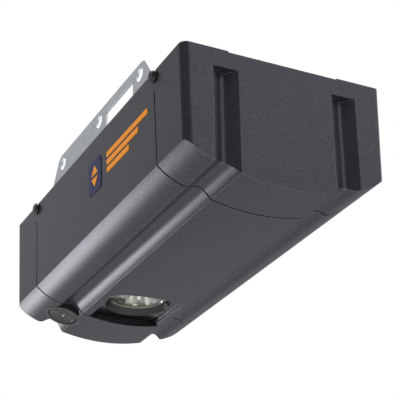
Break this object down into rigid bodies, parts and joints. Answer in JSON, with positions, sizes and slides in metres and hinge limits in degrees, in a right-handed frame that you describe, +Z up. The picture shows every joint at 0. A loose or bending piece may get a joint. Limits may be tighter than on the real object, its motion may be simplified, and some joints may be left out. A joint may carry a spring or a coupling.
{
  "type": "garage door opener",
  "caption": "Ceiling-mounted garage door opener head: anthracite covers on a steel deck with hangers, a worm-geared motor and drive shaft, a lamp in a stepped recess and a control button.",
  "frame": {"origin": "middle of the raised rail seat on top of the steel deck", "axes": "+X along the housing from the lamp end to the transformer end, +Y towards the side without the badge, +Z up towards the ceiling"},
  "size_m": [0.3604, 0.1804, 0.1415],
  "materials": {
    "housing": "anthracite with a fine metallic speckle, satin",
    "zinc_steel": "galvanised",
    "bright_steel": "machined",
    "black_screw": "black oxide",
    "surround_black": "gloss",
    "badge_face": "printed and lacquered",
    "stripe_orange": "lacquered",
    "casting": "die cast",
    "bronze": "sintered",
    "wheel_nylon": "moulded",
    "magnet": "sintered ferrite",
    "carbon": "pressed",
    "core_steel": "laminated",
    "copper": "enamelled wire",
    "coil_tape": "polyester tape",
    "mirror_glass": "faceted reflector coating",
    "clear_glass": "clear",
    "ceramic_white": "unglazed",
    "board_green": "solder mask",
    "part_black": "moulded",
    "part_green": "moulded",
    "bezel_black": "fine texture",
    "smoked_clear": "smoked, polished",
    "led_lens": "clear green",
    "grommet_rubber": "soft",
    "lead_sheath": "smooth"
  },
  "bodies": {
    "chassis": {"chassis_plate": "zinc_steel", "hanger_left": "zinc_steel", "hanger_right": "zinc_steel", "hanger_bolts": "bright_steel", "hanger_nuts": "bright_steel", "inlet_grommet": "grommet_rubber", "front_end_cap": "housing", "rear_end_cap": "housing", "cover_screws": "black_screw", "gearbox_housing": "casting", "gearbox_cover": "casting", "gearbox_screws": "bright_steel", "output_bushes": "bronze", "motor_can": "zinc_steel", "motor_end_plate": "zinc_steel", "motor_magnets": "magnet", "motor_brushes": "carbon", "motor_bolts": "bright_steel", "worm_bushes": "bronze", "encoder_sensor": "part_black", "lamp_reflector": "mirror_glass", "lamp_glass": "clear_glass", "lamp_capsule": "clear_glass", "lamp_socket": "ceramic_white", "lamp_bracket": "zinc_steel", "transformer_core": "core_steel", "transformer_winding": "coil_tape", "transformer_strap": "zinc_steel", "control_board": "board_green", "board_relays": "part_black", "board_capacitors": "part_black", "board_terminals": "part_green", "board_fuse": "bright_steel", "board_chips": "part_black", "board_brackets": "zinc_steel", "inner_screws": "bright_steel", "button_bezel": "bezel_black", "button_carrier": "part_black", "button_board": "board_green", "button_switch": "part_black", "status_led": "led_lens", "lamp_lead": "lead_sheath", "motor_lead": "lead_sheath"},
    "hood": {"centre_hood": "housing", "lamp_surround": "surround_black", "side_badge": "badge_face", "side_stripes": "stripe_orange"},
    "armature": {"armature_shaft": "bright_steel", "armature_core": "core_steel", "armature_winding": "copper", "commutator": "copper", "worm": "bright_steel", "encoder_disc": "part_black"},
    "output": {"worm_wheel": "wheel_nylon", "wheel_key": "bright_steel", "output_shaft": "bright_steel", "drive_adapter": "bright_steel", "adapter_circlip": "black_screw"},
    "button": {"control_button": "smoked_clear", "switch_plunger": "part_black"}
  },
  "joints": [
    {"name": "hood_release", "type": "slide", "parent": "chassis", "child": "hood", "axis": [0, 0, -1], "range_m": [0, 0.13]},
    {"name": "armature_spin", "type": "hinge", "parent": "chassis", "child": "armature", "pos_m": [0.04, -0.0355, -0.036], "axis": [1, 0, 0], "continuous": true},
    {"name": "output_turn", "type": "hinge", "parent": "chassis", "child": "output", "pos_m": [0.04, 0, 0], "axis": [0, 0, 1], "continuous": true},
    {"name": "button_press", "type": "slide", "parent": "chassis", "child": "button", "axis": [0, 0.2907, 0.9568], "range_m": [0, 0.0008], "stiffness_N_per_m": 1500, "springref_m": -0.0006}
  ],
  "couplings": [
    {"joint": "output_turn", "follows": "armature_spin", "ratio": -0.027778}
  ]
}
